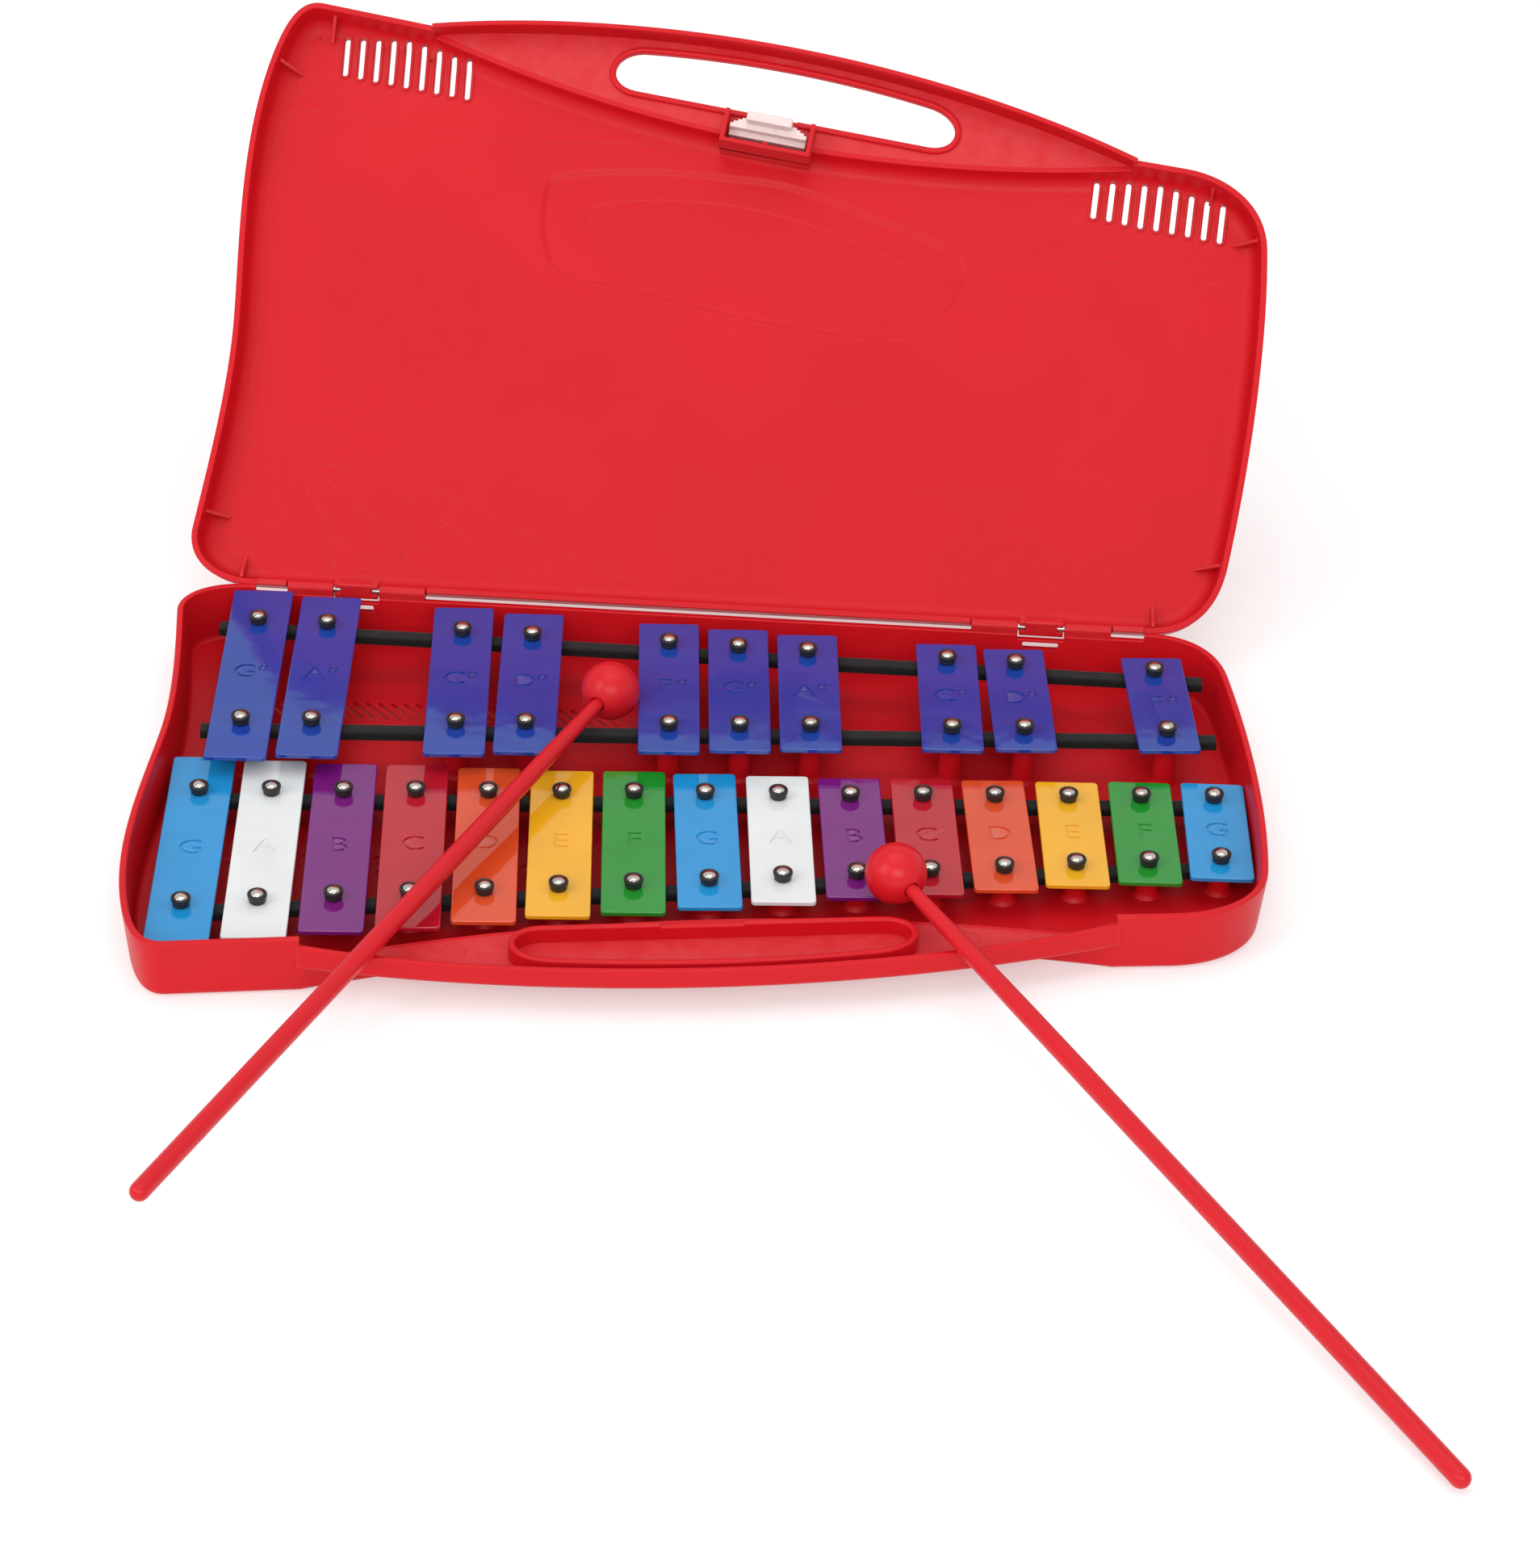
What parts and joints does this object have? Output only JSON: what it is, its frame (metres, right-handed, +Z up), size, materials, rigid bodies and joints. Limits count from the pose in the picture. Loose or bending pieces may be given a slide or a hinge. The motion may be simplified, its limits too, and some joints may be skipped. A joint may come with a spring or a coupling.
{
  "type": "glockenspiel",
  "caption": "Children's chromatic glockenspiel: coloured metal bars in two rows on felt in a hinged carrying case with a moulded handle, with a pair of mallets.",
  "frame": {"origin": "on the case's underside, midway between the two hinges and 100 mm in front of the hinge axis", "axes": "+X towards the high notes, +Y away from the player towards the hinges, +Z up"},
  "size_m": [0.4045, 0.5518, 0.1675],
  "materials": {
    "case_red": "satin moulded",
    "mallet_red": "smooth moulded",
    "latch_clear": "translucent",
    "steel": "plain",
    "pin_nickel": "polished, in black rubber",
    "felt_black": "pressed felt",
    "bar_blue": "gloss lacquer",
    "bar_white": "gloss lacquer",
    "bar_purple": "gloss lacquer",
    "bar_red": "gloss lacquer",
    "bar_orange": "gloss lacquer",
    "bar_yellow": "gloss lacquer",
    "bar_green": "gloss lacquer",
    "bar_deep_blue": "gloss lacquer"
  },
  "bodies": {
    "case": {"tray": "case_red", "bar_01_g": "bar_blue", "bar_02_a": "bar_white", "bar_03_b": "bar_purple", "bar_04_c": "bar_red", "bar_05_d": "bar_orange", "bar_06_e": "bar_yellow", "bar_07_f": "bar_green", "bar_08_g": "bar_blue", "bar_09_a": "bar_white", "bar_10_b": "bar_purple", "bar_11_c": "bar_red", "bar_12_d": "bar_orange", "bar_13_e": "bar_yellow", "bar_14_f": "bar_green", "bar_15_g": "bar_blue", "bar_sharp_01_g": "bar_deep_blue", "bar_sharp_02_a": "bar_deep_blue", "bar_sharp_03_c": "bar_deep_blue", "bar_sharp_04_d": "bar_deep_blue", "bar_sharp_05_f": "bar_deep_blue", "bar_sharp_06_g": "bar_deep_blue", "bar_sharp_07_a": "bar_deep_blue", "bar_sharp_08_c": "bar_deep_blue", "bar_sharp_09_d": "bar_deep_blue", "bar_sharp_10_f": "bar_deep_blue", "felt_accidental_rear": "felt_black", "felt_accidental_front": "felt_black", "felt_natural_rear": "felt_black", "felt_natural_front": "felt_black", "pins_accidental_rear": "pin_nickel", "pins_accidental_front": "pin_nickel", "pins_natural_rear": "pin_nickel", "pins_natural_front": "pin_nickel"},
    "lid": {"lid": "case_red"},
    "latch": {"latch_clip": "latch_clear"},
    "pin_left": {"hinge_pin_left": "steel"},
    "pin_right": {"hinge_pin_right": "steel"},
    "mallet_left": {"mallet_left_head": "mallet_red", "mallet_left_stick": "mallet_red"},
    "mallet_right": {"mallet_right_head": "mallet_red", "mallet_right_stick": "mallet_red"}
  },
  "joints": [
    {"name": "lid_hinge", "type": "hinge", "parent": "case", "child": "lid", "pos_m": [0, 0.1, 0.0204], "axis": [-1, 0, 0], "range_deg": [-132, 0]},
    {"name": "latch_press", "type": "slide", "parent": "lid", "child": "latch", "axis": [-0.149, -0.7077, -0.6906], "range_m": [0, 0.0025], "stiffness_N_per_m": 200, "springref_m": -0.0005},
    {"name": "mallet_left_lift", "type": "slide", "parent": "case", "child": "mallet_left", "axis": [0, 0, 1], "range_m": [0, 0.06]},
    {"name": "mallet_right_lift", "type": "slide", "parent": "case", "child": "mallet_right", "axis": [0, 0, 1], "range_m": [0, 0.06]},
    {"name": "hinge_pin_left_spin", "type": "hinge", "parent": "case", "child": "pin_left", "pos_m": [-0.1157, 0.1, 0.0204], "axis": [1, 0, 0], "continuous": true},
    {"name": "hinge_pin_right_spin", "type": "hinge", "parent": "case", "child": "pin_right", "pos_m": [0.1155, 0.1, 0.0204], "axis": [1, 0, 0], "continuous": true}
  ]
}
